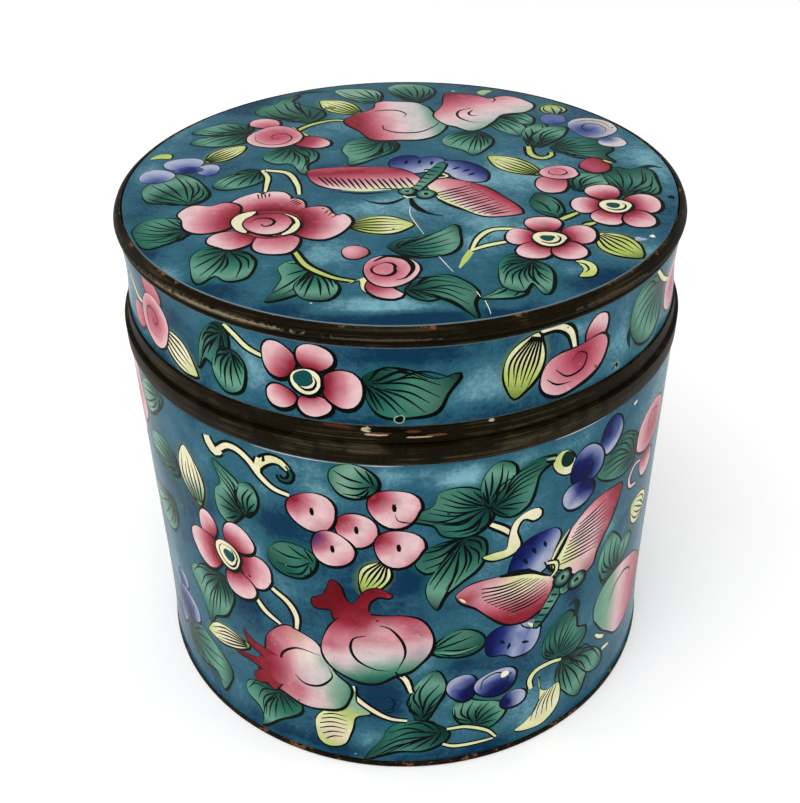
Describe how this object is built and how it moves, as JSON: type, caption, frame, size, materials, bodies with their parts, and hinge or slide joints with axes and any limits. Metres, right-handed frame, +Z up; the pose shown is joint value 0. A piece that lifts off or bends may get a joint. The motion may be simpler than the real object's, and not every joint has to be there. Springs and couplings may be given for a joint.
{
  "type": "enamel lidded jar",
  "caption": "Round straight-sided enamelled copper jar with a shallow lift-off lid, painted flowers and fruit, and dark bare metal edges.",
  "frame": {"origin": "centre of the underside, on the surface that the jar stands on", "axes": "+Z up along the axis of the round, -Y towards the side that the picture shows"},
  "size_m": [0.1024, 0.1024, 0.0979],
  "materials": {
    "painted_enamel": "glossy painted enamel, blue ground with pink, green and yellow flowers",
    "bare_bronze": "dark, worn, half dull"
  },
  "bodies": {
    "root": {"foot_ring": "bare_bronze", "jar_body": "painted_enamel", "mouth_band": "bare_bronze", "lid": "painted_enamel", "lid_top_moulding": "bare_bronze", "lid_lower_band": "bare_bronze"}
  },
  "joints": []
}
